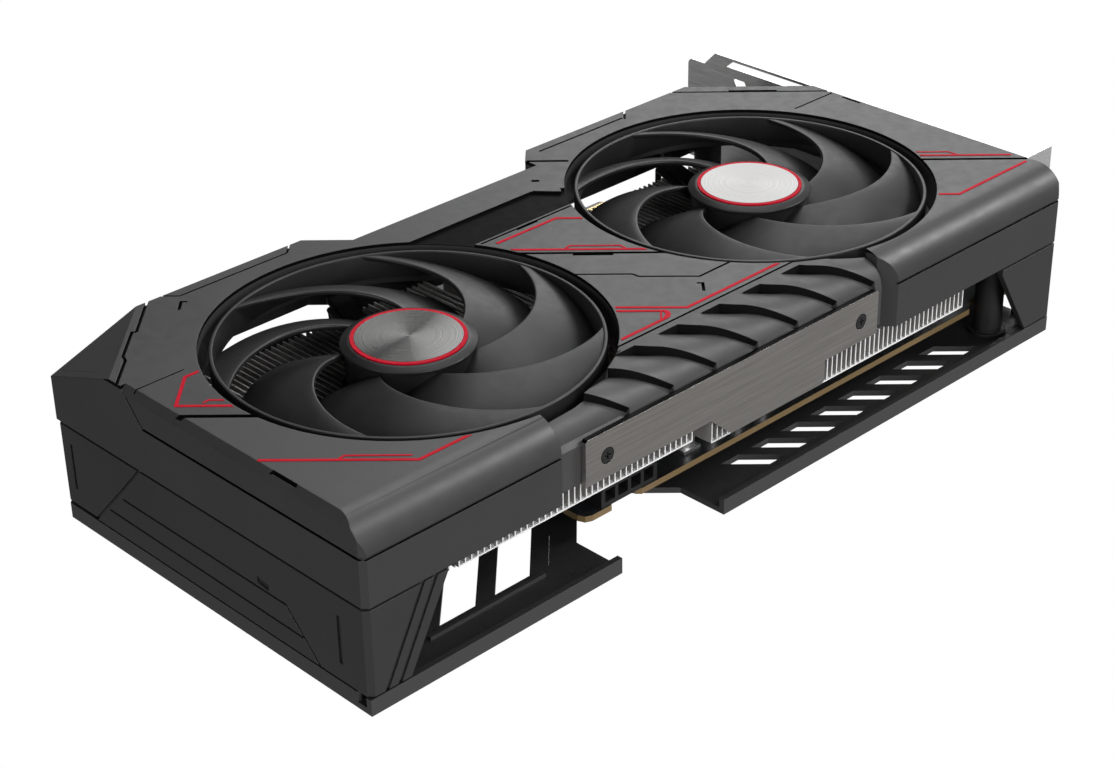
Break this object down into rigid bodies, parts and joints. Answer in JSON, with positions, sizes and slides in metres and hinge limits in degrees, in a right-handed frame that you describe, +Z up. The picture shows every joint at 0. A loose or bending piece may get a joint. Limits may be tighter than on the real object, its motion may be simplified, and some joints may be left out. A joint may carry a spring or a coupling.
{
  "type": "graphics card",
  "caption": "Dual-fan expansion graphics card with a faceted shroud, louvred side, finned heatsink, backplate and a slot bracket.",
  "frame": {"origin": "middle of the overall length and width, at the underside of the backplate, which is the resting face", "axes": "+X along the card from its tail to the bracket, +Y from the nameplate side to the edge connector, +Z up out of the fans"},
  "size_m": [0.2504, 0.1346, 0.0459],
  "materials": {
    "black_metal": "satin black",
    "black_plastic": "fine matt",
    "dark_plastic": "fine matt, dark grey",
    "blade_plastic": "satin dark grey",
    "red_paint": "satin crimson",
    "brushed_plate": "brushed along its length",
    "aluminium": "bare",
    "spun_aluminium": "spun, with fine rings",
    "steel": "plain",
    "dark_steel": "black",
    "copper": "bare copper",
    "gold": "gold plated",
    "board": "solder mask over glass laminate",
    "package": "resin laminate",
    "silicon": "polished",
    "chip": "moulded",
    "ferrite": "pressed powder",
    "pad": "soft",
    "bronze": "sintered",
    "magnet": "bonded magnet",
    "cable": "insulated wire",
    "nylon": "natural"
  },
  "bodies": {
    "card": {"backplate": "black_metal", "backplate_screws": "dark_steel", "pcb": "board", "edge_contacts": "gold", "gpu_package": "package", "gpu_die": "silicon", "memory_chips": "chip", "thermal_pads": "pad", "chokes": "ferrite", "power_stages": "chip", "capacitors": "aluminium", "controller_chips": "chip", "power_connector": "black_plastic", "power_pins": "gold", "hdmi_port": "steel", "displayport_ports": "steel", "port_tongues": "black_plastic", "io_bracket": "steel", "bracket_screws": "steel", "cold_plate": "copper", "heatsink_plate": "aluminium", "heatpipes": "copper", "fin_stack_tail": "aluminium", "fin_stack_main": "aluminium", "retention_bracket": "steel", "spring_screws": "steel", "retention_springs": "steel", "shroud": "dark_plastic", "accent_lines": "red_paint", "louvre_band": "dark_plastic", "tail_skirt": "dark_plastic", "port_skirt": "dark_plastic", "support_posts": "black_plastic", "nameplate": "brushed_plate", "nameplate_screws": "dark_steel", "shroud_screws": "dark_steel", "fan_sockets": "nylon", "fan_leads": "cable", "fan_1_frame": "black_plastic", "fan_1_screws": "dark_steel", "fan_1_bearing": "bronze", "fan_1_stator": "copper", "fan_1_circuit": "board", "fan_2_frame": "black_plastic", "fan_2_screws": "dark_steel", "fan_2_bearing": "bronze", "fan_2_stator": "copper", "fan_2_circuit": "board"},
    "fan_1": {"fan_1_rotor": "blade_plastic", "fan_1_cap": "spun_aluminium", "fan_1_trim_ring": "red_paint", "fan_1_magnet": "magnet", "fan_1_shaft": "steel"},
    "fan_2": {"fan_2_rotor": "blade_plastic", "fan_2_cap": "spun_aluminium", "fan_2_trim_ring": "red_paint", "fan_2_magnet": "magnet", "fan_2_shaft": "steel"}
  },
  "joints": [
    {"name": "fan_1_spin", "type": "hinge", "parent": "card", "child": "fan_1", "pos_m": [-0.06605, -0.0139, 0.04], "axis": [0, 0, 1], "continuous": true},
    {"name": "fan_2_spin", "type": "hinge", "parent": "card", "child": "fan_2", "pos_m": [0.04875, -0.0139, 0.04], "axis": [0, 0, 1], "continuous": true}
  ]
}
